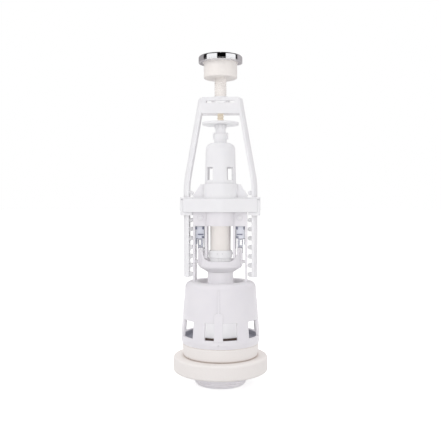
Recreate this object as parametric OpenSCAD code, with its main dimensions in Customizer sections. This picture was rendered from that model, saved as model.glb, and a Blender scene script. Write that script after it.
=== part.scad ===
// Flush valve for a close-coupled cistern: push button on a height-set yoke, and a rack
// drive that turns the press downward into a lift of the valve. Millimetres, +Z up,
// origin at the middle of the outlet's lower end, yoke legs on the X axis.

/* [Outlet] */
// Outside diameter of the outlet thread
spigot_d = 59.6; // [56:0.1:64]
// Wall of the outlet
spigot_wall = 3.8; // [2.6:0.1:5]
// Thread that stands out below the washer
spigot_tail = 15; // [8:0.5:30]
// How far the neck above the thread is cut back, on radius
spigot_relief = 0.5; // [0.3:0.1:1]
// Outside diameter of the doughnut washer
washer_d = 109.2; // [100:0.2:125]
// Height of the doughnut washer
washer_h = 17.5; // [16:0.1:26]
// Rounding of the washer's outer edges
washer_round = 2.5; // [1:0.1:5]
// Washer left above the nut's recess
washer_web = 7; // [4:0.1:9]
// Back nut across its flats
nut_flats = 70; // [67:0.5:78]
// Height of the back nut
nut_h = 9; // [6:0.1:10]
// Height of the cistern gasket
gasket_h = 15.3; // [8:0.1:18]
// Gasket diameter at its foot
gasket_d = 86; // [80:0.5:90]
// Thickness of the outlet's flange
flange_t = 3.6; // [2.5:0.1:5]
// Height of the seat above that flange
seat_h = 2; // [1:0.1:4]

/* [Basket] */
// Widest diameter of the basket, just under the windows
basket_d = 91.2; // [88:0.2:100]
// Height of the basket
basket_h = 70.7; // [64:0.2:85]
// Wall of the basket
basket_wall = 2.4; // [1.6:0.1:3]
// Ring below the windows
basket_ring_h = 9.7; // [7:0.1:14]
// Height of the windows
window_h = 19; // [12:0.1:22]
// Half angle of the front and back openings
front_half = 24; // [20:0.5:26]
// Angle of the piers beside them
pier_angle = 19.6; // [16:0.2:24]
// Angle of the side windows
side_angle = 26; // [18:0.5:28]
// How far the windows are turned from the ribs
window_turn = 3.8; // [-5:0.1:5]
// Rounding of the shoulder
shoulder_r = 7; // [4:0.1:9]
// Depth of the well in the top
well_h = 5; // [3:0.1:7]
// Width of the front and back ribs
rib_w = 9.8; // [6:0.1:13]
// Height of the wide rib above the windows
rib_over = 11; // [6:0.1:16]

/* [Valve] */
// Outside diameter of the overflow tube
tube_d = 23.6; // [21:0.1:26]
// Wall of the overflow tube
tube_wall = 1.6; // [1.2:0.1:2.2]
// Wall of the bowl's neck
neck_wall = 2.8; // [2:0.1:3.4]
// Neck seen above the basket's well
neck_h = 15.5; // [12:0.1:20]
// Outside diameter of the bowl
bowl_d = 50.4; // [46:0.2:54]
// Wall of the bowl
bowl_wall = 1.8; // [1.4:0.1:2.4]
// Height of the bowl's flare
flare_h = 6.5; // [5:0.1:9]
// Height of the bowl's rim
rim_h = 7.2; // [5:0.1:10]
// Height of the fingers above the rim
finger_h = 14.8; // [13:0.1:19]
// Width of the fingers
finger_w = 6.3; // [5:0.1:7.6]
// Radius of the scoop between the fingers and the rim
scoop_r = 9; // [5:0.5:11]
// Height of the collar on the tube
collar_h = 12.7; // [9:0.1:15]
// Outside diameter of the valve foot's drum
drum_d = 58; // [46:0.2:59]
// Height of the valve foot's drum
drum_h = 24; // [16:0.2:26]
// Outside diameter of the valve foot's top
foot_d = 39; // [36:0.2:44]
// Height of the valve foot
foot_h = 38; // [24:0.2:41]
// Outside diameter of the flush seal
seal_d = 60; // [58:0.2:66]
// Thickness of the flush seal
seal_t = 3.4; // [2:0.1:5]

/* [Drive] */
// Stroke of the button, and so of the valve
stroke = 10; // [7:0.1:11]
// Tooth size
gear_module = 1; // [0.9:0.05:1.1]
// Face width of the racks
gear_w = 8; // [6:0.1:9]
// Diameter of the pinion pins
pin_d = 3; // [2.6:0.1:3.2]
// Space between the overflow tube and the inner racks
rack_gap = 3.6; // [2.5:0.1:5]
// Back of the inner racks
rack_in_t = 2.2; // [1.8:0.1:3]
// Back of the lift racks
rack_out_t = 1.6; // [1.2:0.1:2.4]

/* [Cage and cover] */
// Wall of the cage
cage_wall = 1.6; // [1.3:0.1:2.2]
// Posts from the basket's top to the header
cage_leg_h = 64; // [60:0.2:74]
// Depth of the side channels, inside
channel_d = 17; // [16:0.1:18.6]
// Width of the guide bars
bar_w = 2.9; // [2.2:0.1:3.4]
// Half depth of the posts' feet
post_foot = 13; // [11.5:0.1:14]
// Wall of the column
column_wall = 1.2; // [1:0.1:1.8]
// Column above the cover's plate
column_h = 15.7; // [10:0.1:20]
// Height of the header that the cover's band goes round
header_h = 22.5; // [20:0.1:25]
// Height of the cover's band
band_h = 15.2; // [8:0.1:16]
// Height of the leg sleeves
sleeve_h = 20.7; // [14:0.1:24]
// Wall of the leg sleeves
sleeve_wall = 3; // [2:0.1:4]
// Thickness of the cover's plate
plate_t = 2.7; // [2:0.1:4]

/* [Plunger] */
// Height of the plunger's body
plunger_h = 57.8; // [50:0.2:70]
// Wall of the plunger
plunger_wall = 1.8; // [1.4:0.1:2.2]
// Height of the plunger's windows
eye_h = 14.5; // [8:0.1:20]
// Diameter of the stem
stem_d = 11.6; // [10.6:0.1:13]
// Height of the lock ring
lock_h = 8.2; // [5:0.1:11]
// Bare stem between the lock ring and the disc
stem_h = 8.9; // [7:0.1:16]
// Height of the lugs under the push disc
lug_h = 4; // [2:0.1:6]
// Diameter of the push disc
disc_d = 42; // [34:0.2:46]
// Thickness of the push disc
disc_t = 2.5; // [1.8:0.1:4]

/* [Yoke] */
// Depth of the legs
leg_d = 18; // [15:0.1:18.6]
// Width of the legs
leg_w = 6.8; // [5.5:0.1:8]
// Length of the yoke's teeth
tooth_l = 4.3; // [3:0.1:5.5]
// Pitch of the yoke's teeth
tooth_pitch = 10.5; // [9:0.1:12]
// Half width of the bridge at its top
bridge_half = 25.2; // [23:0.1:29]
// Space between the disc and the bridge
bridge_gap = 9.7; // [5:0.1:14]
// Height of the bridge's webs
web_h = 12; // [9:0.1:16]
// Slit between webs and top plate
slit_h = 2.3; // [1.2:0.1:3]
// Thickness of the bridge's top plate
bridge_t = 4.3; // [3:0.1:6]
// Rounding of the bridge's top corners
bridge_round = 3; // [1.5:0.1:4]
// Half length of the bend in the legs
bend_h = 10; // [5:0.5:14]

/* [Button] */
// Diameter of the screwed shank
shank_d = 14; // [12.6:0.1:16]
// Diameter of the push rod
rod_d = 7.6; // [6.4:0.1:8.2]
// Shank seen between bridge and cup
shank_h = 22.4; // [16:0.1:40]
// Diameter of the cup
cup_d = 38.4; // [36:0.2:42]
// Height of the cup
cup_h = 19.2; // [17.5:0.1:24]
// Wall of the cup
cup_wall = 2; // [1.4:0.1:2.6]
// Diameter of the bezel
bezel_d = 50.4; // [47:0.2:56]
// Height of the bezel
bezel_h = 5.9; // [5:0.1:8]
// Thickness of the cap's face
cap_t = 3; // [2:0.1:3.6]
// Skirt of the cap below its face
cap_skirt = 5; // [3:0.1:6]
// Corner rounding of the bezel
bezel_round = 2; // [1:0.1:2.6]

/* [Fits] */
// Clearance of sliding parts
slide_fit = 0.35; // [0.3:0.01:0.5]
// Clearance of fixed parts round one another
seat_fit = 0.15; // [0.1:0.01:0.2]
// Radial clearance of turning parts
turn_fit = 0.06; // [0.04:0.01:0.09]

/* [Hidden] */
$fn = 96;
e = 0.01;
pinion_teeth = 8;
pressure = 25;
// Heights from the bottom up
washer_z0 = spigot_tail;
washer_z1 = washer_z0 + washer_h;
base_z = washer_z1 + gasket_h;
flange_z1 = base_z + flange_t;
seat_z = flange_z1 + seat_h;
sill_z = base_z + basket_ring_h;
lintel_z = sill_z + window_h;
rim_z = base_z + basket_h;
floor_z = rim_z - well_h;
floor_t = 2.5;
neck_z1 = floor_z + neck_h;
flare_z1 = neck_z1 + flare_h;
bowl_z = flare_z1 + rim_h;
finger_z = bowl_z + finger_h;
hang_z = finger_z - 3.2;
collar_z0 = bowl_z - 1;
collar_z1 = collar_z0 + collar_h;
header_z0 = rim_z + cage_leg_h;
pinion_z = header_z0 + 9.5;
ring_z0 = pinion_z + stroke + 6.5;
hood_z = ring_z0 + 4;
header_z1 = header_z0 + header_h;
plate_z1 = hood_z + plate_t;
band_z1 = plate_z1 - 1.5;
band_z0 = band_z1 - band_h;
sleeve_z0 = plate_z1 - sleeve_h;
column_z1 = plate_z1 + column_h;
skirt_z = hood_z;
shoulder_z = skirt_z + plunger_h;
crown_z = shoulder_z + 7.6;
nose_z = crown_z + 4;
lock_z1 = nose_z + lock_h;
disc_z0 = lock_z1 + stem_h;
disc_z1 = disc_z0 + disc_t;
web_z0 = disc_z1 + bridge_gap;
web_z1 = web_z0 + web_h;
bridge_z0 = web_z1 + slit_h;
bridge_z1 = bridge_z0 + bridge_t;
cup_z0 = bridge_z1 + shank_h;
cup_z1 = cup_z0 + cup_h;
top_z = cup_z1 + bezel_h;
leg_z0 = rim_z + 5;
kink_z = column_z1 + 0.6;
tube_z0 = seat_z - 1;
tube_z1 = hood_z + 9;
// Stations outward from the axis
spigot_r = spigot_d / 2;
bore_r = spigot_r - spigot_wall;
neck_shank_r = spigot_r - spigot_relief;
washer_r = washer_d / 2;
basket_r = basket_d / 2;
tube_r = tube_d / 2;
neck_in = tube_r + slide_fit;
neck_r = neck_in + neck_wall;
bowl_r = bowl_d / 2;
rack_in_x0 = tube_r + rack_gap;
rack_in_x1 = rack_in_x0 + rack_in_t;
dedendum = gear_module;
addendum = 0.7 * gear_module;
pitch_in_x = rack_in_x1 + dedendum;
pinion_r = pinion_teeth * gear_module / 2;
pinion_x = pitch_in_x + pinion_r;
pitch_out_x = pinion_x + pinion_r;
rack_out_x0 = pitch_out_x + dedendum;
rack_out_x1 = rack_out_x0 + rack_out_t;
cheek_x0 = rack_out_x1 + slide_fit;
cheek_x1 = cheek_x0 + cage_wall;
tooth_x0 = cheek_x1 + 0.5;
leg_x0 = tooth_x0 + tooth_l;
leg_x1 = leg_x0 + leg_w;
sleeve_x0 = leg_x1 + slide_fit;
sleeve_x1 = sleeve_x0 + sleeve_wall;
plunger_r = rack_in_x1 + 0.3;
column_in = plunger_r + slide_fit;
column_r = column_in + column_wall;
channel_y = channel_d / 2;
cage_y = channel_y + cage_wall + 0.4;
cover_wall = 2;
band_r = column_r + seat_fit + cover_wall;
band_y = max(cage_y + seat_fit, leg_d / 2 + slide_fit) + cover_wall;
sleeve_y = leg_d / 2 + slide_fit + cover_wall;
hang_x = (rack_in_x1 + addendum + rack_out_x0) / 2;
well_r = cheek_x0 - 2.5;
top_r = sqrt(cheek_x1 * cheek_x1 + post_foot * post_foot) + shoulder_r + 0.3;
stem_r = stem_d / 2;
rod_r = rod_d / 2;
rod_z0 = nose_z - 2;
shank_r = shank_d / 2;
shank_in = rod_r + 0.5;
shank_z0 = web_z1 + 0.2;
cup_r = cup_d / 2;
cup_in = cup_r - cup_wall;
cap_r = cup_in - slide_fit;
cup_floor_z = cup_z0 + 2.5;
cap_z = top_z - 0.6;
cap_under_z = cap_z - cap_t;
cap_round = cap_t / 2;
cap_boss = cap_skirt + 1;
finger_x0 = hang_x - 3.7;
finger_y0 = gear_w / 2 + 2.2;
finger_y1 = finger_y0 + 2.4;
lean = atan((leg_x1 - bridge_half) / (bridge_z1 - kink_z));
leg_arc = (leg_d * leg_d / 4 + pow(leg_w - 2.6, 2)) / (2 * (leg_w - 2.6));

white = [0.94, 0.94, 0.95];
cream = [0.93, 0.9, 0.86];
clear = [0.8, 0.87, 0.95, 0.6];
chrome = [0.75, 0.76, 0.78];
dark = [0.12, 0.1, 0.1];

// Ring of rectangular section
module ring(r0, r1, z0, z1) {
    rotate_extrude() translate([r0, z0]) square([r1 - r0, z1 - z0]);
}

// Ring whose outer edges are rounded
module round_ring(r0, r1, z0, z1, r) {
    rotate_extrude() {
        translate([r0, z0]) square([r1 - r0 - r, z1 - z0]);
        translate([r0, z0 + r]) square([r1 - r0, z1 - z0 - 2 * r]);
        translate([r1 - r, z0 + r]) circle(r);
        translate([r1 - r, z1 - r]) circle(r);
    }
}

// Box given by its two corners
module box(a, b) {
    translate(a) cube([b[0] - a[0], b[1] - a[1], b[2] - a[2]]);
}

// Points of an arc in a profile
function arc(cx, cz, r, a0, a1, n) =
    [for (i = [0:n]) [cx + r * cos(a0 + (a1 - a0) * i / n), cz + r * sin(a0 + (a1 - a0) * i / n)]];

// Wedge with its point on the axis, from angle a0 to a1 (0 looks to the front)
module wedge(a0, a1, z0, z1) {
    far = 2 * basket_r;
    mid = (a0 + a1) / 2;
    translate([0, 0, z0]) linear_extrude(z1 - z0)
        polygon([[0, 0], far * [sin(a0), -cos(a0)], far * [sin(mid), -cos(mid)],
            far * [sin(a1), -cos(a1)]]);
}

// Flat profile in X and Z, given depth along Y about y
module slab(y, d) {
    translate([0, y + d / 2, 0]) rotate([90, 0, 0]) linear_extrude(d) children();
}

module both_sides() {
    children();
    mirror([1, 0, 0]) children();
}

module outlet_body() {
    color(white) rotate_extrude() polygon([
        [bore_r, 0], [spigot_r - 0.8, 0], [spigot_r, 0.8], [spigot_r, spigot_tail - 0.4],
        [neck_shank_r, spigot_tail - 0.4], [neck_shank_r, base_z],
        [basket_r - 1.1 - basket_wall - seat_fit, base_z],
        [basket_r - 1.1 - basket_wall - seat_fit, flange_z1],
        [bore_r + 3.2, flange_z1], [bore_r + 2.2, seat_z], [bore_r, seat_z]]);
}

module cistern_gasket() {
    foot = gasket_d / 2;
    top = basket_r - 1.2;
    color(cream) rotate_extrude() polygon(concat([[neck_shank_r + seat_fit, washer_z1]],
        arc(foot - 2, washer_z1 + 2, 2, -90, 0, 5),
        [[top, base_z - 1], [top - 0.8, base_z], [neck_shank_r + seat_fit, base_z]]));
}

module doughnut_washer() {
    well = nut_flats / 2 / cos(30) + 0.8;
    color(cream) difference() {
        round_ring(neck_shank_r + seat_fit, washer_r, washer_z0, washer_z1, washer_round);
        translate([0, 0, washer_z0 - 1]) cylinder(r = well, h = washer_h - washer_web + 1);
    }
}

module back_nut() {
    z1 = washer_z1 - washer_web;
    color(white) difference() {
        union() {
            translate([0, 0, z1 - nut_h]) cylinder(r = nut_flats / 2 / cos(30), h = nut_h, $fn = 6);
            translate([0, 0, z1 - 2]) cylinder(r = nut_flats / 2 / cos(30), h = 2);
        }
        translate([0, 0, z1 - nut_h - 1]) cylinder(r = neck_shank_r + seat_fit, h = nut_h + 2);
    }
}

// Outside radius of the basket's taper at height z
function skirt_r(z) = basket_r + (top_r - basket_r) * (z - sill_z) / (rim_z - shoulder_r - sill_z);

module basket_shell() {
    sh_z = rim_z - shoulder_r;
    w = basket_wall;
    out = concat([[basket_r - 1.1, base_z], [basket_r, base_z + 5], [skirt_r(sill_z), sill_z]],
        arc(top_r - shoulder_r, sh_z, shoulder_r, 0, 90, 8),
        [[well_r, rim_z], [well_r, floor_z], [neck_r + slide_fit, floor_z]]);
    ins = concat([[neck_r + slide_fit, floor_z - floor_t], [well_r + w, floor_z - floor_t],
            [well_r + w, rim_z - w], [top_r - shoulder_r, rim_z - w]],
        arc(top_r - shoulder_r, sh_z, shoulder_r - w, 90, 0, 6),
        [[skirt_r(sill_z) - w, sill_z], [basket_r - 1.1 - w, sill_z - 1.5],
            [basket_r - 1.1 - w, base_z]]);
    rotate_extrude() polygon(concat(out, ins));
}

module basket_rib() {
    r = skirt_r(lintel_z);
    rib_z1 = lintel_z + rib_over;
    face = basket_r + 0.6;
    intersection() {
        union() {
            slab(-r, 10) {
                translate([-rib_w / 2, sill_z - 1]) square([rib_w, rib_z1 - sill_z - 2]);
                translate([-rib_w / 2 + 3, sill_z - 1]) square([rib_w - 6, rib_z1 - sill_z + 1]);
                translate([-rib_w / 2 + 3, rib_z1 - 3]) circle(3);
                translate([rib_w / 2 - 3, rib_z1 - 3]) circle(3);
            }
            slab(-r, 14) translate([-1.1, rib_z1 - 2]) square([2.2, rim_z - rib_z1 - 4]);
        }
        rotate_extrude() polygon([[basket_r - 5.5, sill_z - 2], [face, sill_z - 2], [face, sill_z],
            [skirt_r(rib_z1) + 0.9, rib_z1], [skirt_r(rim_z - 6) + 0.5, rim_z - 6],
            [top_r - 1.5, rim_z - 6], [skirt_r(rib_z1) - 1.6, rib_z1], [basket_r - 4, lintel_z]]);
    }
}

module basket() {
    color(white) difference() {
        union() {
            difference() {
                basket_shell();
                for (a = [window_turn, window_turn + 180]) {
                    side = front_half + pier_angle;
                    wedge(a - front_half, a + front_half, sill_z, lintel_z);
                    wedge(a + side, a + side + side_angle, sill_z, lintel_z);
                    wedge(a - side - side_angle, a - side, sill_z, lintel_z);
                }
            }
            basket_rib();
            rotate(180) basket_rib();
        }
        for (a = [0, 180]) rotate(a) translate([0, -basket_r - 1, base_z + 4.6])
            rotate([-90, 0, 0]) cylinder(r = 1.1, h = 2);
        both_sides() for (y = [-1, 1])
            box([cheek_x0 - seat_fit, y * 8 - 2.5 - seat_fit, rim_z - basket_wall - 1],
                [cheek_x1 + seat_fit, y * 8 + 2.5 + seat_fit, rim_z + 1]);
    }
}

// Header outline, grown by g
module header_plan(g) {
    circle(column_r + g);
    square([2 * (cheek_x1 + g), 2 * (cage_y + g)], center = true);
}

module cage_post() {
    translate([cheek_x0, 0, 0]) rotate([90, 0, 90]) linear_extrude(cage_wall) polygon([
        [-post_foot, rim_z], [post_foot, rim_z], [cage_y, bowl_z + stroke + 4],
        [cage_y, header_z0 + 1], [-cage_y, header_z0 + 1], [-cage_y, bowl_z + stroke + 4]]);
    for (y = [-1, 1])
        box([cheek_x0, y * 8 - 2.5, rim_z - basket_wall], [cheek_x1, y * 8 + 2.5, rim_z + 1]);
}

module cage_frame() {
    bar_z = flare_z1 + stroke;
    color(white) difference() {
        union() {
            difference() {
                translate([0, 0, header_z0]) linear_extrude(header_z1 - header_z0) header_plan(0);
                translate([0, 0, header_z0 - 1]) linear_extrude(header_z1 - header_z0 + 2) {
                    circle(column_in);
                    square([2 * cheek_x0, 2 * channel_y], center = true);
                }
            }
            both_sides() cage_post();
            both_sides() for (y = [-1, 1]) {
                box([rack_in_x1 - bar_w, min(y * channel_y, y * cage_y), bar_z],
                    [rack_in_x1, max(y * channel_y, y * cage_y), header_z0 + 3]);
                translate([pinion_x, y * (cage_y - 0.2), pinion_z]) rotate([-90 * y, 0, 0])
                    cylinder(r = pin_d / 2 + 1.6, h = 0.9);
            }
        }
        both_sides() translate([pinion_x, 0, pinion_z]) rotate([90, 0, 0])
            cylinder(r = pin_d / 2 + 0.02, h = 4 * cage_y, center = true);
    }
}

module band_plan() {
    x = leg_x1 - 0.6;
    turn = atan2(band_y, x) + acos(band_r / sqrt(x * x + band_y * band_y));
    tx = band_r * cos(turn);
    ty = band_r * sin(turn);
    circle(band_r);
    polygon([[x, band_y], [tx, ty], [-tx, ty], [-x, band_y], [-x, -band_y], [-tx, -ty], [tx, -ty],
        [x, -band_y]]);
}

module sleeve_plan() {
    r = 2.5;
    translate([leg_x0 - 4, -sleeve_y]) square([sleeve_x1 - leg_x0 + 4 - r, 2 * sleeve_y]);
    translate([leg_x0 - 4, -sleeve_y + r]) square([sleeve_x1 - leg_x0 + 4, 2 * sleeve_y - 2 * r]);
    for (y = [-1, 1]) translate([sleeve_x1 - r, y * (sleeve_y - r)]) circle(r);
}

module cover() {
    wing_x = leg_x1 - 0.6;
    color(white) difference() {
        union() {
            translate([0, 0, band_z0]) linear_extrude(band_h) band_plan();
            box([-wing_x, -cage_y, header_z1 - 1], [wing_x, cage_y, plate_z1]);
            both_sides() translate([0, 0, sleeve_z0]) linear_extrude(sleeve_h + 0.3) sleeve_plan();
            translate([0, 0, header_z1 - 1]) cylinder(r = column_r, h = column_z1 - header_z1 + 1);
            both_sides() slab(0, 5) polygon([[column_in + 0.5, plate_z1 - 1],
                [column_r + 13.6, plate_z1 - 1], [column_r + 13.6, plate_z1 + 0.4],
                [column_r + 3.8, column_z1 - 0.4], [column_in + 0.5, column_z1 - 0.4]]);
        }
        translate([0, 0, sleeve_z0 - 1]) linear_extrude(header_z1 - sleeve_z0 + 1)
            header_plan(seat_fit);
        translate([0, 0, header_z1 - 1]) cylinder(r = column_in, h = column_z1 - header_z1 + 2);
        box([-cheek_x0, -channel_y, header_z1 - 1], [cheek_x0, channel_y, hood_z]);
        both_sides() {
            box([cheek_x1 + seat_fit - e, -leg_d / 2 - slide_fit, sleeve_z0 - 1],
                [sleeve_x0, leg_d / 2 + slide_fit, plate_z1 + 2]);
            for (y = [-1, 1]) translate([0, y * sleeve_y, 0])
                box([sleeve_x1 - 3.6, -1.2, plate_z1 - 3.2], [sleeve_x1 - 1.2, 1.2, plate_z1 - 1.6]);
        }
    }
}

module pinion_pin() {
    translate([pinion_x, 0, pinion_z]) rotate([90, 0, 0])
        cylinder(r = pin_d / 2, h = 2 * cage_y + 1, center = true);
}

module pinion_pin_left() {
    color(white) mirror([1, 0, 0]) pinion_pin();
}

module pinion_pin_right() {
    color(white) pinion_pin();
}

// Section of a yoke leg, flat inside and round outside, at height z and moved by dx
function leg_ring(z, dx, n) = concat([[leg_x0 + dx, -leg_d / 2, z], [leg_x0 + dx, leg_d / 2, z]],
    [for (i = [0:n]) let (y = leg_d * (0.5 - i / n))
        [leg_x1 - leg_arc + sqrt(leg_arc * leg_arc - y * y) + dx, y, z]]);

// How far the leg has moved inward at height z, with a soft bend
function leg_dx(z) = z < kink_z - bend_h ? 0
    : z > kink_z + bend_h ? -(z - kink_z) * tan(lean)
    : -tan(lean) * pow(z - kink_z + bend_h, 2) / (4 * bend_h);

module yoke_leg() {
    n = 12;
    m = n + 3;
    corner_z = bridge_z1 - bridge_round;
    stations = concat([[leg_z0, 0]],
        [for (i = [0:6]) let (z = kink_z + bend_h * (i / 3 - 1)) [z, leg_dx(z)]],
        [for (a = [0:22.5:67.5]) [corner_z + bridge_round * sin(a),
            leg_dx(corner_z) - bridge_round * (1 - cos(a))]],
        [[bridge_z1, leg_dx(corner_z) - bridge_round]]);
    last = len(stations) - 1;
    pts = [for (s = stations) each leg_ring(s[0], s[1], n)];
    sides = [for (k = [0:last - 1]) for (j = [0:m - 1]) [k * m + (j + 1) % m,
        (k + 1) * m + (j + 1) % m, (k + 1) * m + j, k * m + j]];
    ends = [[for (j = [m - 1:-1:0]) j], [for (j = [0:m - 1]) last * m + j]];
    polyhedron(points = pts, faces = concat(sides, ends), convexity = 6);
    teeth = floor((column_z1 - 8 - leg_z0) / tooth_pitch);
    for (i = [0:teeth]) slab(0, 8) {
        z = leg_z0 + 2.6 + i * tooth_pitch;
        translate([tooth_x0 + 2.5, z]) circle(2.5);
        translate([tooth_x0 + 2.5, z - 2.5]) square([tooth_l - 2, 5]);
    }
}

// Half width of the bridge, outside, at height z
function bridge_x(z) = bridge_half + (bridge_z1 - z) * tan(lean);

module yoke() {
    in_x = bridge_half - leg_w - 1;
    color(white) difference() {
        union() {
            both_sides() yoke_leg();
            slab(0, leg_d) polygon([[-bridge_x(bridge_z0) + 5.2, bridge_z0],
                [bridge_x(bridge_z0) - 5.2, bridge_z0], [bridge_half - 5.2, bridge_z1],
                [5.2 - bridge_half, bridge_z1]]);
            for (y = [-1, 1]) slab(y * (leg_d / 2 - 1.2), 2.4) {
                polygon([[-bridge_x(web_z0) + 5.2, web_z0], [bridge_x(web_z0) - 5.2, web_z0],
                    [bridge_x(web_z1) - 5.2, web_z1], [-bridge_x(web_z1) + 5.2, web_z1]]);
                for (s = [-1, 1]) translate([s * (in_x + 2) - 3, web_z1 - 1])
                    square([6, slit_h + 2]);
            }
            translate([0, 0, bridge_z1 - 1]) cylinder(r = shank_r + 2.4, h = 2);
        }
        translate([0, 0, bridge_z0 - 1]) cylinder(r = shank_r + seat_fit, h = bridge_t + 4);
        both_sides() box([shank_r + 3.4, 2.4 - leg_d / 2, bridge_z0 - e],
            [in_x - 1.2, leg_d / 2 + 1, bridge_z1 - 1.3]);
    }
}

module button_housing() {
    color(cream) rotate_extrude() polygon(concat([[shank_in, shank_z0], [shank_r - 0.8, shank_z0],
            [shank_r, shank_z0 + 0.8], [shank_r, cup_z0]],
        arc(cup_r - 1.2, cup_z0 + 1.2, 1.2, -90, 0, 5),
        [[cup_r, cup_z1 - 1.6], [bezel_d / 2 - 1.6, cup_z1 - 1.6], [bezel_d / 2 - 1.6, cup_z1],
            [cup_in, cup_z1], [cup_in, cup_floor_z], [shank_in, cup_floor_z]]));
}

module shank_nut() {
    color(white) difference() {
        translate([0, 0, shank_z0]) cylinder(r = shank_r + 2.7, h = bridge_z0 - shank_z0, $fn = 6);
        translate([0, 0, shank_z0 - 1]) cylinder(r = shank_r + seat_fit, h = slit_h + 2);
    }
}

module button_bezel() {
    r1 = bezel_d / 2;
    color(chrome) rotate_extrude() polygon(concat([[cup_in, cup_z1], [r1, cup_z1]],
        arc(r1 - bezel_round, top_z - bezel_round, bezel_round, 0, 90, 6),
        [[cup_in + 3, top_z], [cup_in, top_z - 1.2]]));
}

module button_cap() {
    color(chrome) rotate_extrude() polygon(concat([[cap_r - 1.6, cap_under_z - cap_skirt],
            [cap_r, cap_under_z - cap_skirt]],
        arc(cap_r - cap_round, cap_z - cap_round - 0.6, cap_round, 0, 80, 4),
        [[0, cap_z], [0, cap_under_z - 0.5], [rod_r + seat_fit, cap_under_z - 0.5],
            [rod_r + seat_fit, cap_under_z - cap_boss], [rod_r + 2, cap_under_z - cap_boss],
            [rod_r + 2, cap_under_z], [cap_r - 1.6, cap_under_z]]));
}

module push_rod() {
    color(cream) difference() {
        translate([0, 0, rod_z0]) cylinder(r = rod_r, h = cap_under_z - 0.5 - rod_z0);
        translate([0, 0, rod_z0 - 1]) cylinder(r = 1.2, h = 12);
    }
}

// Helical spring, wound from flat-sided wire sections
module button_spring() {
    r = (rod_r + 2 + cap_r - 1.6) / 2;
    w = 0.6;
    z0 = cup_floor_z + w + 0.05;
    z1 = cap_under_z - w - 0.05;
    turns = 5;
    n = 16;
    k = 6;
    last = turns * n;
    pts = [for (i = [0:last]) for (j = [0:k - 1])
        let (a = 360 * i / n, rr = r + w * cos(360 * j / k), zz = w * sin(360 * j / k))
        [rr * cos(a), rr * sin(a), z0 + (z1 - z0) * i / last + zz]];
    sides = [for (i = [0:last - 1]) for (j = [0:k - 1])
        [i * k + j, i * k + (j + 1) % k, (i + 1) * k + (j + 1) % k, (i + 1) * k + j]];
    ends = [[for (j = [k - 1:-1:0]) j], [for (j = [0:k - 1]) last * k + j]];
    color(chrome) polyhedron(points = pts, faces = concat(sides, ends), convexity = 8);
}

module push_plate() {
    color(white) difference() {
        union() {
            translate([0, 0, disc_z0]) cylinder(r = disc_d / 2, h = disc_t);
            translate([0, 0, crown_z - 2]) cylinder(r = stem_r, h = disc_z0 - crown_z + 2.5);
            for (a = [0:60:120]) rotate(a) slab(0, 1.6) polygon([[-stem_r - 1, disc_z0 - lug_h],
                [stem_r + 1, disc_z0 - lug_h], [stem_r + 1.4, disc_z0 + 0.5],
                [-stem_r - 1.4, disc_z0 + 0.5]]);
        }
        translate([0, 0, rod_z0 - 0.5]) cylinder(r = rod_r + seat_fit, h = disc_z1 - rod_z0 + 2);
    }
}

module stem_lock_ring() {
    r = stem_r + 1.3;
    color(white) difference() {
        union() {
            translate([0, 0, nose_z]) cylinder(r = r, h = lock_h - 1.6);
            both_sides() box([r - 0.6, -1.5, nose_z + 0.6], [r + 1.8, 1.5, lock_z1]);
            both_sides() box([stem_r + 0.4, -1.5, nose_z + 0.6], [r, 1.5, lock_z1]);
        }
        translate([0, 0, nose_z - 1]) cylinder(r = stem_r + seat_fit, h = lock_h + 2);
    }
}

module plunger() {
    w = plunger_wall;
    top = plunger_r - 0.9;
    nose = stem_r + 1.3;
    eye_z = column_z1 + 4.1;
    color(white) difference() {
        rotate_extrude() polygon(concat([[plunger_r, skirt_z], [plunger_r, column_z1]],
            arc(top - 7.6, shoulder_z, 7.6, 0, 90, 9),
            [[nose, crown_z + 0.4], [nose, nose_z], [stem_r + seat_fit, nose_z],
                [stem_r + seat_fit, crown_z - w - 0.2]],
            arc(top - 7.6, shoulder_z, 7.6 - w, 90, 0, 7),
            [[plunger_r - w, column_z1], [plunger_r - w, skirt_z]]));
        for (a = [0, 180]) {
            wedge(a + 27, a + 57, eye_z, eye_z + eye_h);
            wedge(a - 57, a - 27, eye_z, eye_z + eye_h);
        }
    }
}

// Rack teeth along Z in the X-Z plane, pointing to +X from pitch line x, spaces at z
module rack_teeth(x, z, from, to) {
    pitch = PI * gear_module;
    grow = tan(pressure);
    foot = pitch / 4 - 0.07 + grow * dedendum;
    tip = pitch / 4 - 0.07 - grow * addendum;
    back = x - dedendum;
    for (i = [ceil((from - z) / pitch):floor((to - z) / pitch)]) {
        c = z + (i + 0.5) * pitch;
        polygon([[back - 0.3, c - foot], [back, c - foot], [x + addendum, c - tip],
            [x + addendum, c + tip], [back, c + foot], [back - 0.3, c + foot]]);
    }
}

module rack_fork() {
    color(clear) difference() {
        union() {
            ring(rack_in_x0, plunger_r, ring_z0, hood_z);
            both_sides() slab(0, gear_w) {
                translate([rack_in_x0, pinion_z - 4]) square([rack_in_t, ring_z0 - pinion_z + 5]);
                rack_teeth(pitch_in_x, pinion_z, pinion_z - 3, pinion_z + stroke + 1);
            }
        }
        translate([0, 0, ring_z0 - stroke - 9]) cylinder(r = rack_in_x0 - 0.4, h = stroke + 20);
    }
}

function inv(a) = tan(a) * 180 / PI - a;

// Half angle of a pinion tooth at radius r
function tooth_half(r) = 90 / pinion_teeth - 1.6 + inv(pressure)
    - inv(acos(min(1, pinion_r * cos(pressure) / r)));

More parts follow.
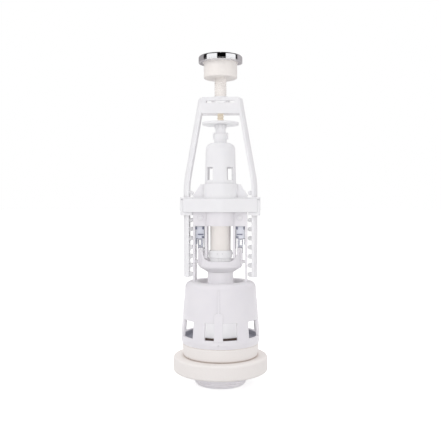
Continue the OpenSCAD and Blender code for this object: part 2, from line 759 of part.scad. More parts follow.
module pinion_plan() {
    base = pinion_r * cos(pressure);
    tip = pinion_r + 0.75 * gear_module;
    root = pinion_r - dedendum;
    rs = concat([root], [for (i = [0:3]) base + (tip - base) * i / 3]);
    polygon([for (t = [0:pinion_teeth - 1]) each concat(
        [for (r = rs) r * [cos(t * 360 / pinion_teeth - tooth_half(max(r, base))),
            sin(t * 360 / pinion_teeth - tooth_half(max(r, base)))]],
        [for (i = [4:-1:0]) rs[i] * [cos(t * 360 / pinion_teeth + tooth_half(max(rs[i], base))),
            sin(t * 360 / pinion_teeth + tooth_half(max(rs[i], base)))]])]);
}

module pinion() {
    difference() {
        union() {
            translate([pinion_x, 0, pinion_z]) slab(0, gear_w - 1) pinion_plan();
            translate([pinion_x, 0, pinion_z]) rotate([90, 0, 0])
                cylinder(r = pin_d / 2 + 1.1, h = channel_d - 2 * slide_fit, center = true);
        }
        translate([pinion_x, 0, pinion_z]) rotate([90, 0, 0])
            cylinder(r = pin_d / 2 + turn_fit, h = channel_d + 4, center = true);
    }
}

module pinion_left() {
    color(clear) mirror([1, 0, 0]) pinion();
}

module pinion_right() {
    color(clear) pinion();
}

// One raised side of the bowl's wall, scooped down to the rim in front and behind
module bowl_saddle() {
    x = finger_x0 - scoop_r;
    top = finger_z - 2;
    intersection() {
        difference() {
            ring(bowl_r - bowl_wall, bowl_r, bowl_z - 1, top);
            box([finger_x0 - 1, -finger_y0, hang_z - 3.6], [bowl_r + 1, finger_y0, top + 1]);
        }
        slab(0, 2 * bowl_r) difference() {
            translate([x, bowl_z - 1]) square([bowl_r, top - bowl_z + 1]);
            translate([x, bowl_z + scoop_r]) circle(scoop_r);
            translate([x - scoop_r, bowl_z + scoop_r]) square([2 * scoop_r, 2 * scoop_r]);
        }
        rotate([90, 0, 90]) linear_extrude(bowl_r) polygon([[-bowl_r, bowl_z - 1], [bowl_r, bowl_z - 1],
            [bowl_r - 3, bowl_z], [finger_y1 + 2, top], [-finger_y1 - 2, top], [3 - bowl_r, bowl_z]]);
    }
}

module lift_bowl() {
    w = bowl_wall;
    tab_x = cheek_x0 - 0.5;
    color(white) difference() {
        union() {
            rotate_extrude() polygon(concat([[neck_in, seat_z + seal_t + foot_h - 8],
                [neck_r - 1.2, seat_z + seal_t + foot_h - 8], [neck_r - 1.2, seat_z + seal_t + foot_h],
                [neck_r, seat_z + seal_t + foot_h], [neck_r, neck_z1]],
                arc(bowl_r - 4, flare_z1 + 2, 4, -50, 0, 5), [[bowl_r, bowl_z], [bowl_r - w, bowl_z],
                [bowl_r - w, flare_z1 + 1], [neck_r, neck_z1 + 1.6], [neck_in + 1.4, neck_z1 + 1.6],
                [neck_in + 1.4, collar_z0], [neck_in, collar_z0]]));
            both_sides() {
                box([bowl_r - 1, -4.5, bowl_z - 3.2], [tab_x, 4.5, bowl_z]);
                for (y = [-1, 1]) slab(y * (finger_y0 + finger_y1) / 2, finger_y1 - finger_y0) {
                    translate([finger_x0, flare_z1 + 1.5])
                        square([finger_w, finger_z - flare_z1 - 3.5]);
                    translate([finger_x0 + 2, flare_z1 + 1.5])
                        square([finger_w - 4, finger_z - flare_z1 - 1.5]);
                    for (x = [finger_x0 + 2, finger_x0 + finger_w - 2]) translate([x, finger_z - 2])
                        circle(2);
                }
                bowl_saddle();
            }
        }
        both_sides() translate([hang_x, 0, hang_z]) rotate([90, 0, 0])
            cylinder(r = 1.5 + seat_fit, h = 2 * finger_y1 - 1.6, center = true);
    }
}

module lift_rack() {
    shelf_z = pinion_z - 25;
    block_x0 = pitch_in_x + addendum + 0.4;
    block_z1 = pinion_z - pinion_r - 0.75 * gear_module - stroke - 0.5;
    difference() {
        union() {
            slab(0, gear_w) {
                translate([rack_out_x0, shelf_z]) square([rack_out_t, pinion_z + 4 - shelf_z]);
                translate([block_x0, shelf_z]) square([rack_out_x1 - block_x0, block_z1 - shelf_z]);
                translate([2 * pitch_out_x, 0]) mirror([1, 0])
                    rack_teeth(pitch_out_x, pinion_z, pinion_z - stroke - 3, pinion_z);
                translate([hang_x - 3.1, hang_z - 3]) square([6.2, shelf_z - hang_z + 4]);
            }
            translate([hang_x, 0, hang_z]) rotate([90, 0, 0])
                cylinder(r = 1.5, h = 2 * finger_y1 - 1.6, center = true);
        }
        box([hang_x - 0.2, -gear_w, shelf_z - 7], [hang_x + 1.9, gear_w, shelf_z - 0.8]);
    }
}

module lift_rack_left() {
    color(clear) mirror([1, 0, 0]) lift_rack();
}

module lift_rack_right() {
    color(clear) lift_rack();
}

module tube_collar() {
    r1 = tube_r + 1.7;
    step = collar_z0 + collar_h / 3;
    color(white) difference() {
        union() {
            rotate_extrude() polygon([[tube_r + turn_fit, collar_z0], [tube_r + 0.6, collar_z0],
                [tube_r + 0.6, step - 0.4], [r1, step + 0.2], [r1, collar_z1 - 0.8],
                [r1 - 0.8, collar_z1], [tube_r + turn_fit, collar_z1]]);
            both_sides() box([tube_r + 1, -1.6, collar_z1 - 5], [r1 + 0.9, 1.6, collar_z1 - 2.4]);
            for (a = [0, 180]) rotate(a)
                box([-0.7, -r1 + 0.2, collar_z0], [0.7, -tube_r - 0.4, step + 1]);
        }
        for (x = [-2.8, 2.8]) translate([x, -tube_r - 2.4, collar_z1 - 3.6]) rotate([-90, 0, 0])
            cylinder(r = 0.8, h = 1.4);
    }
}

module overflow_tube() {
    color(cream) ring(tube_r - tube_wall, tube_r, tube_z0, tube_z1);
}

module valve_foot() {
    z0 = seat_z + seal_t;
    z1 = z0 + foot_h;
    hub = neck_r - 1.2;
    drum_r = drum_d / 2;
    drum_z1 = z0 + drum_h;
    color(white) rotate_extrude() polygon([[tube_r + slide_fit, z0], [drum_r, z0], [drum_r, drum_z1 - 1.5],
        [drum_r - 1.5, drum_z1], [foot_d / 2, drum_z1 + 3], [foot_d / 2, z1 - 1.5],
        [foot_d / 2 - 1.5, z1], [hub + seat_fit, z1], [hub + seat_fit, z1 - 8.2],
        [foot_d / 2 - 2, z1 - 8.2], [foot_d / 2 - 2, drum_z1 + 1.6], [drum_r - 2, drum_z1 - 1.6],
        [drum_r - 2, z0 + 2.4], [tube_r + slide_fit, z0 + 2.4]]);
}

module flush_seal() {
    color(dark) ring(tube_r + slide_fit, seal_d / 2, seat_z, seat_z + seal_t);
}

module seal_retainer() {
    color(white) ring(tube_r + slide_fit, bore_r - 2, seat_z - 2.6, seat_z);
}

outlet_body();
cistern_gasket();
doughnut_washer();
back_nut();
basket();
cage_frame();
cover();
pinion_pin_left();
pinion_pin_right();
yoke();
button_housing();
shank_nut();
button_bezel();
button_cap();
push_rod();
button_spring();
push_plate();
stem_lock_ring();
plunger();
rack_fork();
pinion_left();
pinion_right();
lift_bowl();
lift_rack_left();
lift_rack_right();
tube_collar();
overflow_tube();
valve_foot();
flush_seal();
seal_retainer();
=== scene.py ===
# %% [markdown]
# # Dressing a toilet flush valve
# The valve stands in a cistern: a button on a toothed yoke, a plunger that slides in a column,
# a small rack drive, and a basket over the outlet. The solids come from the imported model, so
# this lesson only adds the camera, the light, the finishes, the screw threads and a few thin
# pieces.

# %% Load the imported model
import math

import bmesh
import bpy
from mathutils import Matrix, Vector


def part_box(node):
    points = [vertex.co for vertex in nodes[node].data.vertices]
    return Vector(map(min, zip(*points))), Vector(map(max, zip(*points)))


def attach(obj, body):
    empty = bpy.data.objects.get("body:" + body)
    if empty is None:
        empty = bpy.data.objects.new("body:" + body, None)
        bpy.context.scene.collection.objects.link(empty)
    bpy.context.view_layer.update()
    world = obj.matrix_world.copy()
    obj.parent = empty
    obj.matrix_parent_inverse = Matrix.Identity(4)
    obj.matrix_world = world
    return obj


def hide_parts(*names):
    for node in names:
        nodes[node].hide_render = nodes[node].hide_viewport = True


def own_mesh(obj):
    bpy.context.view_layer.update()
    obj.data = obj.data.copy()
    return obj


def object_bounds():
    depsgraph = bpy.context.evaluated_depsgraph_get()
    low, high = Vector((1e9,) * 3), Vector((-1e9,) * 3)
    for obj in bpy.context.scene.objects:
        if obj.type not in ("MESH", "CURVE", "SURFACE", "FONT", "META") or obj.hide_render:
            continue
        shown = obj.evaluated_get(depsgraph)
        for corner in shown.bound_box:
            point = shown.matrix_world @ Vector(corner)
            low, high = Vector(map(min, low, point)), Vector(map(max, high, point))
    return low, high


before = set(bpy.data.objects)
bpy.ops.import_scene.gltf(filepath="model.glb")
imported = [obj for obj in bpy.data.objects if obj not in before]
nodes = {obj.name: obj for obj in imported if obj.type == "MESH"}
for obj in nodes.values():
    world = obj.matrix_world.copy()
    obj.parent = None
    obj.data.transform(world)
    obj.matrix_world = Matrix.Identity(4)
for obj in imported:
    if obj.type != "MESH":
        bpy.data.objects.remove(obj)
cad_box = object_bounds()
scene = bpy.context.scene
print("solids:", len(nodes))

# %% [markdown]
# ## The camera
# The picture is a catalogue shot: a normal lens about 0.7 m away, a little above the middle of
# the valve, turned three degrees to the right. The horizon is above the middle of the frame, so
# the camera looks slightly down. Aiming an object with to_track_quat is shorter than working out
# angles, and it says plainly what the camera looks at.

# %% Place the camera
CAMERA_TURN = math.radians(3.0)
CAMERA_AWAY = 0.712
CAMERA_HEIGHT = 0.2070
CAMERA_AIM = Vector((0.0, 0.0, 0.1886))

camera_data = bpy.data.cameras.new("photo_camera")
camera_data.lens = 50.1
camera_data.sensor_width = 36.0
camera_data.clip_start = 0.01
camera = bpy.data.objects.new("photo_camera", camera_data)
camera.location = (CAMERA_AWAY * math.sin(CAMERA_TURN), -CAMERA_AWAY * math.cos(CAMERA_TURN),
                   CAMERA_HEIGHT)
camera.rotation_euler = (CAMERA_AIM - camera.location).to_track_quat("-Z", "Y").to_euler()
scene.collection.objects.link(camera)
scene.camera = camera
scene.view_settings.view_transform = "Standard"
print("camera at", [round(c, 3) for c in camera.location])

# %% [markdown]
# ## A white studio
# White plastic on a white ground only reads through soft differences of light. A bright sky all
# round gives the even base, and a few soft lamps add the slow fall of light from left to right.
# Light Path lets the sky look pure white to the camera, to metal and to clear plastic, while the
# light that reaches the valve stays at a plain level. Two small helpers for node trees come
# first, because every finish needs them too.

# %% Helpers for values in a node tree


def feed(tree, value, socket):
    """Give a socket a number, or a link from another socket."""
    if isinstance(value, (int, float)):
        socket.default_value = value
    else:
        tree.links.new(value, socket)


def maths(tree, operation, first, second):
    """A Math node on two values, each a number or a socket."""
    made = tree.nodes.new("ShaderNodeMath")
    made.operation = operation
    feed(tree, first, made.inputs[0])
    feed(tree, second, made.inputs[1])
    return made.outputs[0]


print("value helpers ready")

# %% Sky that is white to look at and softer as a light
SKY_LIGHT = 0.70
WHITE = (1.0, 1.0, 1.0, 1.0)


def seen_directly(tree):
    """A mask that is 1 for camera, mirror and see-through rays."""
    path = tree.nodes.new("ShaderNodeLightPath")
    seen = maths(tree, "MAXIMUM", path.outputs["Is Camera Ray"], path.outputs["Is Glossy Ray"])
    return maths(tree, "MAXIMUM", seen, path.outputs["Is Transmission Ray"])


world = bpy.data.worlds.new("white_studio")
world.use_nodes = True
scene.world = world
sky = world.node_tree
sky.nodes.clear()
lit = sky.nodes.new("ShaderNodeBackground")
lit.inputs["Color"].default_value = WHITE
lit.inputs["Strength"].default_value = SKY_LIGHT
shown = sky.nodes.new("ShaderNodeBackground")
shown.inputs["Color"].default_value = WHITE
shown.inputs["Strength"].default_value = 1.0
choose = sky.nodes.new("ShaderNodeMixShader")
out = sky.nodes.new("ShaderNodeOutputWorld")
sky.links.new(seen_directly(sky), choose.inputs[0])
sky.links.new(lit.outputs[0], choose.inputs[1])
sky.links.new(shown.outputs[0], choose.inputs[2])
sky.links.new(choose.outputs[0], out.inputs["Surface"])
print("sky light", SKY_LIGHT)

# %% [markdown]
# ## The lamps
# A lamp's soft edge comes from its size, not from its power. Four square lamps are enough: one on
# the left, a larger one on the right, a low one in front that reaches under the cup and the
# washer, and one above and behind that brings out the upper edges. Only the front one shows in
# mirrors, because the others would drown the thin dark lines on the chrome.

# %% Hang four soft lamps
LAMP_AIM = Vector((0.0, 0.0, 0.19))
LAMPS = [
    ("left_lamp", (-1.00, -0.80, 1.00), 0.9, 7.0),
    ("right_lamp", (1.80, -1.15, 0.30), 1.3, 10.0),
    ("front_lamp", (0.15, -2.25, 0.12), 0.7, 5.0),
    ("back_lamp", (0.10, 0.70, 2.00), 1.4, 11.0),
]
for name, place, size, power in LAMPS:
    lamp_data = bpy.data.lights.new(name, "AREA")
    lamp_data.shape = "SQUARE"
    lamp_data.size = size
    lamp_data.energy = power
    lamp = bpy.data.objects.new(name, lamp_data)
    lamp.location = place
    lamp.rotation_euler = (LAMP_AIM - lamp.location).to_track_quat("-Z", "Y").to_euler()
    lamp.visible_glossy = name == "front_lamp"
    scene.collection.objects.link(lamp)
print("lamps:", [name for name, *_ in LAMPS])

# %% [markdown]
# ## The floor
# The valve stands on its outlet on a plain pale floor. The floor is matt, and it gives out a
# little light of its own to the camera, so that it meets the sky without a horizon line and
# still darkens under the washer.

# %% Lay the floor
FLOOR_HALF = 20.0
FLOOR_DROP = 0.0002
FLOOR_GREY = 0.72
FLOOR_ROUGH = 0.9
FLOOR_LIFT = 0.55
floor_mesh = bpy.data.meshes.new("floor")
bm = bmesh.new()
bmesh.ops.create_grid(bm, x_segments=1, y_segments=1, size=FLOOR_HALF)
bm.to_mesh(floor_mesh)
bm.free()
floor = bpy.data.objects.new("floor", floor_mesh)
floor.location.z = cad_box[0][2] - FLOOR_DROP
scene.collection.objects.link(floor)
floor_mat = bpy.data.materials.new("floor_white")
floor_mat.use_nodes = True
ground = floor_mat.node_tree
matt = ground.nodes["Principled BSDF"]
matt.inputs["Base Color"].default_value = (FLOOR_GREY, FLOOR_GREY, FLOOR_GREY, 1.0)
matt.inputs["Roughness"].default_value = FLOOR_ROUGH
matt.inputs["Emission Color"].default_value = WHITE
lift = maths(ground, "MULTIPLY", seen_directly(ground), FLOOR_LIFT)
ground.links.new(lift, matt.inputs["Emission Strength"])
floor_mesh.materials.append(floor_mat)
print("floor at", round(floor.location.z, 4))

# %% [markdown]
# ## Cards for the chrome
# A mirror shows the room, and a white room makes chrome look like white paint. Photographers
# hang dark cards where the metal will show them. The card in front makes the black block in the
# middle of the bezel, narrow ones at the sides its dark lines, grey ones its ends, and high ones
# the dark line along its top. A grey ring below keeps its underside from glaring. They are seen
# by mirror rays only, so they take no light from the white plastic. An edge spun part of the way
# round the bezel makes each of them.

# %% Where the cards hang
CARD_AWAY = 1.9
BEZEL_MIDDLE = Vector((0.0, 0.0, 0.3744))


def wall(up0, up1):
    """The foot and top of an upright card, as (distance, height), from two angles in degrees."""
    return [(CARD_AWAY, CARD_AWAY * math.tan(math.radians(up))) for up in (up0, up1)]


CARDS = [
    ("front_card", -15.0, 31.0, wall(-4, 30), 0.002),
    ("high_card", -115.0, 115.0, wall(30, 88), 0.01),
    ("crown_card", 115.0, 245.0, wall(28, 62), 0.30),
    ("top_card", 115.0, 245.0, wall(62, 88), 0.04),
    ("left_card", -96.0, -73.0, wall(0, 30), 0.02),
    ("left_grey_card", -178.0, -96.0, wall(-10, 30), 0.36),
    ("right_card", 88.0, 102.0, wall(0, 30), 0.03),
    ("right_grey_card", 102.0, 178.0, wall(-10, 30), 0.45),
    ("under_card", -180.0, 180.0, [(0.06, -0.08), (0.6, -0.1)], 0.5),
]
print("cards to hang:", len(CARDS))

# %% Hang the cards
CARD_STEPS = 24
CARD_TINT = (1.0, 0.95, 0.97)
FRONT = -90.0


def hang_card(name, turn0, turn1, ends, grey):
    """A card bent round the bezel between two turns from the front, in degrees."""
    mesh = bpy.data.meshes.new(name)
    bm = bmesh.new()
    start = math.radians(FRONT + turn0)
    ray = Vector((math.cos(start), math.sin(start), 0))
    points = [bm.verts.new(BEZEL_MIDDLE + ray * away + Vector((0, 0, z))) for away, z in ends]
    edge = bm.edges.new(points)
    bmesh.ops.spin(bm, geom=points + [edge], cent=BEZEL_MIDDLE, axis=(0, 0, 1), steps=CARD_STEPS,
                   angle=math.radians(turn1 - turn0))
    bm.to_mesh(mesh)
    bm.free()
    card = bpy.data.objects.new(name, mesh)
    scene.collection.objects.link(card)
    finish = bpy.data.materials.new(name)
    finish.use_nodes = True
    face = finish.node_tree.nodes["Principled BSDF"]
    face.inputs["Base Color"].default_value = (0, 0, 0, 1)
    face.inputs["Specular IOR Level"].default_value = 0
    face.inputs["Emission Color"].default_value = (*(grey * part for part in CARD_TINT), 1)
    face.inputs["Emission Strength"].default_value = 1.0
    mesh.materials.append(finish)
    card.visible_camera = False
    card.visible_diffuse = False
    card.visible_transmission = False
    card.visible_shadow = False
    return card


cards = [hang_card(*row) for row in CARDS]
print("cards:", len(cards))

# %% [markdown]
# ## Moulded plastic
# Injection moulding leaves a skin that is never quite even: slow clouds where the plastic cooled
# at different speeds, and a fine grain from the tool's steel. One node group makes both from
# Object coordinates, so every plastic on the valve can share it with its own colours and sizes.
# A few more helpers come first, for sockets, noise, ranges and a blend of two colours.

# %% Helpers for node groups
NOISE_LOW = 0.3
NOISE_HIGH = 0.7


def add_socket(group, name, way, kind, value=None):
    """A named way into a group or out of it."""
    made = group.interface.new_socket(name=name, in_out=way, socket_type=kind)
    if value is not None:
        made.default_value = value
    return made


def remap(tree, value, start, end, low=0.0, high=1.0):
    """Stretch the range from start to end over the range from low to high."""
    made = tree.nodes.new("ShaderNodeMapRange")
    made.inputs["From Min"].default_value = start
    made.inputs["From Max"].default_value = end
    tree.links.new(value, made.inputs["Value"])
    feed(tree, low, made.inputs["To Min"])
    feed(tree, high, made.inputs["To Max"])
    return made.outputs["Result"]


def noise(tree, scale, detail, coords):
    """A cloudy pattern, mostly between NOISE_LOW and NOISE_HIGH."""
    made = tree.nodes.new("ShaderNodeTexNoise")
    made.inputs["Detail"].default_value = detail
    feed(tree, scale, made.inputs["Scale"])
    tree.links.new(coords, made.inputs["Vector"])
    return made.outputs["Fac"]


def spread(tree, pattern, low, high):
    """Stretch the useful middle of a noise over a new range."""
    return remap(tree, pattern, NOISE_LOW, NOISE_HIGH, low, high)


def blend_colours(tree, mask, first, second):
    """The first colour where the mask is 0, the second where it is 1."""
    made = tree.nodes.new("ShaderNodeMix")
    made.data_type = "RGBA"
    tree.links.new(mask, made.inputs["Factor"])
    tree.links.new(first, made.inputs[6])
    tree.links.new(second, made.inputs[7])
    return made.outputs[2]


print("group helpers ready")

# %% [markdown]
# ## Painted shade in creases
# White plastic on white needs help to show where one piece ends and the next begins. On the real
# valve these joints show as fine dark lines of shade. An Ambient Occlusion node measures how shut
# in a point is within a few millimetres, and each group blends a darker crease colour in there, so
# that shade is painted into the colour.

# %% Find the creases
CREASE_REACH = 0.004


def open_share(tree, reach):
    """A mask that is 1 on open faces and falls where other faces stand close by."""
    found = tree.nodes.new("ShaderNodeAmbientOcclusion")
    found.samples = 4
    tree.links.new(reach, found.inputs["Distance"])
    return remap(tree, found.outputs["AO"], 0.2, 0.9)


print("creases reach", CREASE_REACH, "m")

# %% Build the moulded skin
MOULD_GRAIN = 2600.0
skin = bpy.data.node_groups.new("moulded_skin", "ShaderNodeTree")
add_socket(skin, "Face Colour", "INPUT", "NodeSocketColor", (0.85, 0.85, 0.86, 1))
add_socket(skin, "Cloud Colour", "INPUT", "NodeSocketColor", (0.82, 0.82, 0.84, 1))
add_socket(skin, "Crease Shade Colour", "INPUT", "NodeSocketColor", (0.6, 0.6, 0.64, 1))
add_socket(skin, "Crease Reach", "INPUT", "NodeSocketFloat", CREASE_REACH)
add_socket(skin, "Cloud Size", "INPUT", "NodeSocketFloat", 45.0)
add_socket(skin, "Grain Size", "INPUT", "NodeSocketFloat", MOULD_GRAIN)
add_socket(skin, "Smoothest", "INPUT", "NodeSocketFloat", 0.3)
add_socket(skin, "Roughest", "INPUT", "NodeSocketFloat", 0.42)
add_socket(skin, "Colour", "OUTPUT", "NodeSocketColor")
add_socket(skin, "Roughness", "OUTPUT", "NodeSocketFloat")
add_socket(skin, "Grain", "OUTPUT", "NodeSocketFloat")
given = skin.nodes.new("NodeGroupInput").outputs
made = skin.nodes.new("NodeGroupOutput").inputs
where = skin.nodes.new("ShaderNodeTexCoord").outputs["Object"]
clouds = noise(skin, given["Cloud Size"], 4.0, where)
grain = noise(skin, given["Grain Size"], 3.0, where)
cloudy = blend_colours(skin, spread(skin, clouds, 0.0, 1.0), given["Face Colour"],
                       given["Cloud Colour"])
# Painted shade: the crease colour takes over where other faces stand close by.
crease_shaded = blend_colours(skin, open_share(skin, given["Crease Reach"]), given["Crease Shade Colour"],
                        cloudy)
skin.links.new(crease_shaded, made["Colour"])
skin.links.new(spread(skin, grain, given["Smoothest"], given["Roughest"]), made["Roughness"])
skin.links.new(grain, made["Grain"])
print("group:", skin.name, [s.name for s in skin.interface.items_tree])

# %% [markdown]
# ## Finishes from the skin
# Each plastic is a Principled shader with the group in front of it. A Bevel node rounds the
# light at sharp edges, as every moulded edge is a little round, and the grain goes through a
# Bump node on top of that.

# %% Colours, edges and grain
BUMP_STRENGTH = 0.35
EDGE_SAMPLES = 6


def srgb(red, green, blue):
    """A colour as a colour picker shows it, made linear for Blender."""
    def line(c):
        c /= 255.0
        return c / 12.92 if c <= 0.04045 else ((c + 0.055) / 1.055) ** 2.4
    return (line(red), line(green), line(blue), 1.0)


def surface(mat, grain, edge, depth):
    """Join an edge rounding and a grain height to the shader's Normal."""
    tree = mat.node_tree
    shader = tree.nodes["Principled BSDF"]
    bump = tree.nodes.new("ShaderNodeBump")
    bump.inputs["Strength"].default_value = BUMP_STRENGTH
    bump.inputs["Distance"].default_value = depth
    if edge:
        rounded = tree.nodes.new("ShaderNodeBevel")
        rounded.samples = EDGE_SAMPLES
        rounded.inputs["Radius"].default_value = edge
        tree.links.new(rounded.outputs["Normal"], bump.inputs["Normal"])
    tree.links.new(grain, bump.inputs["Height"])
    tree.links.new(bump.outputs["Normal"], shader.inputs["Normal"])


print("mid grey is", round(srgb(128, 128, 128)[0], 3), "in linear light")

# %% [markdown]
# ## Thin white walls
# White plastic a millimetre or two thick lets much of the light through, and scatters it a little
# inside. That is why the windows of such a basket look bright although a wall stands in front.
# Subsurface gives the scatter. For the light, Light Path lowers Alpha for shadow rays, and on
# some pieces for bounced rays too, so that a wall hardly darkens what stands behind it and still
# can't be seen through.

# %% Let light through a wall


def let_light_through(mat, share, bounced):
    """Let a share of the lamps' light pass, and of the bounced light if asked."""
    tree = mat.node_tree
    path = tree.nodes.new("ShaderNodeLightPath")
    soft = path.outputs["Is Shadow Ray"]
    if bounced:
        soft = maths(tree, "MAXIMUM", soft, path.outputs["Is Diffuse Ray"])
    passed = maths(tree, "MULTIPLY", soft, share)
    held = maths(tree, "SUBTRACT", 1.0, passed)
    tree.links.new(held, tree.nodes["Principled BSDF"].inputs["Alpha"])


print("thin walls ready")

# %% A maker for plastic finishes
MOULD_EDGE = 0.0005
MOULD_CREASE_SHADE = 0.87
GRAIN_DEPTH = 0.00006
SCATTER = 0.0015
PLASTIC_IOR = 1.49


def plastic(name, face, cloud, smooth, rough, grain_size=MOULD_GRAIN, edge=MOULD_EDGE,
            crease_shade=MOULD_CREASE_SHADE, reach=CREASE_REACH, glow=0.0, sheer=0.0, bounced=False):
    """A plastic of two close colours, with shade painted into its joints; sheer lets light through.
    """
    mat = bpy.data.materials.new(name)
    mat.use_nodes = True
    tree = mat.node_tree
    shader = tree.nodes["Principled BSDF"]
    coat = tree.nodes.new("ShaderNodeGroup")
    coat.node_tree = skin
    coat.inputs["Face Colour"].default_value = srgb(*face)
    coat.inputs["Cloud Colour"].default_value = srgb(*cloud)
    # Painted shade: the crease colour is the face colour darkened by this share.
    coat.inputs["Crease Shade Colour"].default_value = srgb(*(c * crease_shade for c in face))
    coat.inputs["Crease Reach"].default_value = reach
    coat.inputs["Grain Size"].default_value = grain_size
    coat.inputs["Smoothest"].default_value = smooth
    coat.inputs["Roughest"].default_value = rough
    tree.links.new(coat.outputs["Colour"], shader.inputs["Base Color"])
    tree.links.new(coat.outputs["Roughness"], shader.inputs["Roughness"])
    surface(mat, coat.outputs["Grain"], edge, GRAIN_DEPTH)
    shader.inputs["IOR"].default_value = PLASTIC_IOR
    shader.inputs["Subsurface Weight"].default_value = glow
    shader.inputs["Subsurface Radius"].default_value = (1.0, 1.0, 1.0)
    shader.inputs["Subsurface Scale"].default_value = SCATTER
    if sheer:
        let_light_through(mat, sheer, bounced)
    return mat


print("plastic maker ready")

# %% [markdown]
# ## The plastics
# The basket's, the foot's and the nut's whites are copies of the yoke's white, set lighter or
# darker for the light that reaches them: the basket and the cage are a shade greyer than the yoke,
# which is painted shade, and the foot inside and the nut are paler, which is painted light. The
# tube, the button's housing and the rod are creams. Threaded pieces get no edge rounding, because
# it would blur the ridges.

# %% Make the plastics
white_plastic = plastic("white_plastic", (239, 238, 240), (235, 234, 237), 0.30, 0.44,
                        glow=0.3, sheer=0.86)
# Painted shade: the basket's white is a greyer copy of the yoke's white, set darker for its light.
basket_shaded_white = plastic("basket_shaded_white", (232, 229, 233), (228, 225, 230), 0.30, 0.44,
                       glow=0.3, sheer=0.93, bounced=True)
yoke_white = plastic("yoke_white", (239, 238, 240), (235, 234, 237), 0.30, 0.44,
                     glow=0.3, sheer=0.86, bounced=True)
# Painted light and shadow: a paler copy of the white, with a deep, wide crease colour that paints
# the shadow the window edges throw on the foot.
foot_lit_white = plastic("foot_lit_white", (250, 248, 251), (247, 245, 249), 0.34, 0.46,
                     crease_shade=0.62, reach=0.009, glow=0.3, sheer=0.86, bounced=True)
outlet_white = plastic("outlet_white", (246, 243, 247), (242, 239, 243), 0.32, 0.46,
                       edge=0.0, crease_shade=0.95)
# Painted light: a paler copy of the white, so the nut does not look dark down in the slit.
nut_lit_white = plastic("nut_lit_white", (252, 251, 253), (250, 249, 251), 0.30, 0.44, crease_shade=1.0)
tube_cream = plastic("tube_cream", (238, 232, 229), (233, 227, 223), 0.42, 0.55)
button_cream = plastic("button_cream", (245, 240, 237), (241, 235, 231), 0.34, 0.46,
                       edge=0.0, crease_shade=0.96)
rod_cream = plastic("rod_cream", (236, 224, 205), (229, 216, 196), 0.34, 0.46, edge=0.0)
print("plastics made")

# %% [markdown]
# ## Painted shade in the basket
# Little light gets to the bottom of the basket, so the inner wall and the outlet's flange are much
# darker than the outside. Here that shade is painted into the colour. Its mask could be painted as
# a map, but distance from the axis and height say the same in a few nodes, and they need no map.

# %% Build the inside mask
INSIDE_R = 0.0426
INSIDE_LOW = 0.046
INSIDE_HIGH = 0.058
FADE_LOW = 0.001
FADE_HIGH = 0.004
inside = bpy.data.node_groups.new("basket_painted_shade", "ShaderNodeTree")
add_socket(inside, "Radius", "INPUT", "NodeSocketFloat", INSIDE_R)
add_socket(inside, "Mask", "OUTPUT", "NodeSocketFloat")
given = inside.nodes.new("NodeGroupInput").outputs
made = inside.nodes.new("NodeGroupOutput").inputs
where = inside.nodes.new("ShaderNodeTexCoord").outputs["Object"]
parts = inside.nodes.new("ShaderNodeSeparateXYZ")
inside.links.new(where, parts.inputs[0])
flat = inside.nodes.new("ShaderNodeVectorMath")
flat.operation = "MULTIPLY"
flat.inputs[1].default_value = (1.0, 1.0, 0.0)
inside.links.new(where, flat.inputs[0])
away = inside.nodes.new("ShaderNodeVectorMath")
away.operation = "LENGTH"
inside.links.new(flat.outputs["Vector"], away.inputs[0])
within = maths(inside, "LESS_THAN", away.outputs["Value"], given["Radius"])
rise = remap(inside, parts.outputs["Z"], INSIDE_LOW - FADE_LOW, INSIDE_LOW)
fade = remap(inside, parts.outputs["Z"], INSIDE_HIGH + FADE_HIGH, INSIDE_HIGH)
band = maths(inside, "MULTIPLY", rise, fade)
inside.links.new(maths(inside, "MULTIPLY", band, within), made["Mask"])
print("group:", inside.name)

# %% Shade the basket and the outlet


def paint_shade_inside(mat, deep):
    """Paint shade in at the bottom of the basket as a darker colour."""
    tree = mat.node_tree
    base = tree.nodes["Principled BSDF"].inputs["Base Color"]
    pale = base.links[0].from_socket
    depth = tree.nodes.new("ShaderNodeGroup")
    depth.node_tree = inside
    dark = tree.nodes.new("ShaderNodeRGB").outputs[0]
    dark.default_value = srgb(*deep)
    tree.links.new(blend_colours(tree, depth.outputs["Mask"], pale, dark), base)


# Painted shade: darker colours for the basket's inner wall and the outlet's flange.
paint_shade_inside(basket_shaded_white, (172, 172, 182))
paint_shade_inside(outlet_white, (136, 136, 147))
print("shaded:", basket_shaded_white.name, outlet_white.name)

# %% [markdown]
# ## Rubber
# The thick washer and the gasket are foamed rubber: matt, a little pink, with fine pores. The
# flush seal is a dense dark rubber. A second group makes pores from a Voronoi pattern, broken up
# by noise so that they don't form rows, and paints shade along the line where two rubbers meet.

# %% Build the pore group
pores = bpy.data.node_groups.new("rubber_pores", "ShaderNodeTree")
add_socket(pores, "Face Colour", "INPUT", "NodeSocketColor", (0.8, 0.76, 0.72, 1))
add_socket(pores, "Pore Colour", "INPUT", "NodeSocketColor", (0.7, 0.64, 0.6, 1))
add_socket(pores, "Crease Shade Colour", "INPUT", "NodeSocketColor", (0.5, 0.46, 0.43, 1))
add_socket(pores, "Crease Reach", "INPUT", "NodeSocketFloat", CREASE_REACH)
add_socket(pores, "Pore Size", "INPUT", "NodeSocketFloat", 900.0)
add_socket(pores, "Colour", "OUTPUT", "NodeSocketColor")
add_socket(pores, "Roughness", "OUTPUT", "NodeSocketFloat")
add_socket(pores, "Skin", "OUTPUT", "NodeSocketFloat")
given = pores.nodes.new("NodeGroupInput").outputs
made = pores.nodes.new("NodeGroupOutput").inputs
where = pores.nodes.new("ShaderNodeTexCoord").outputs["Object"]
cells = pores.nodes.new("ShaderNodeTexVoronoi")
pores.links.new(where, cells.inputs["Vector"])
pores.links.new(given["Pore Size"], cells.inputs["Scale"])
drift = noise(pores, 55.0, 5.0, where)
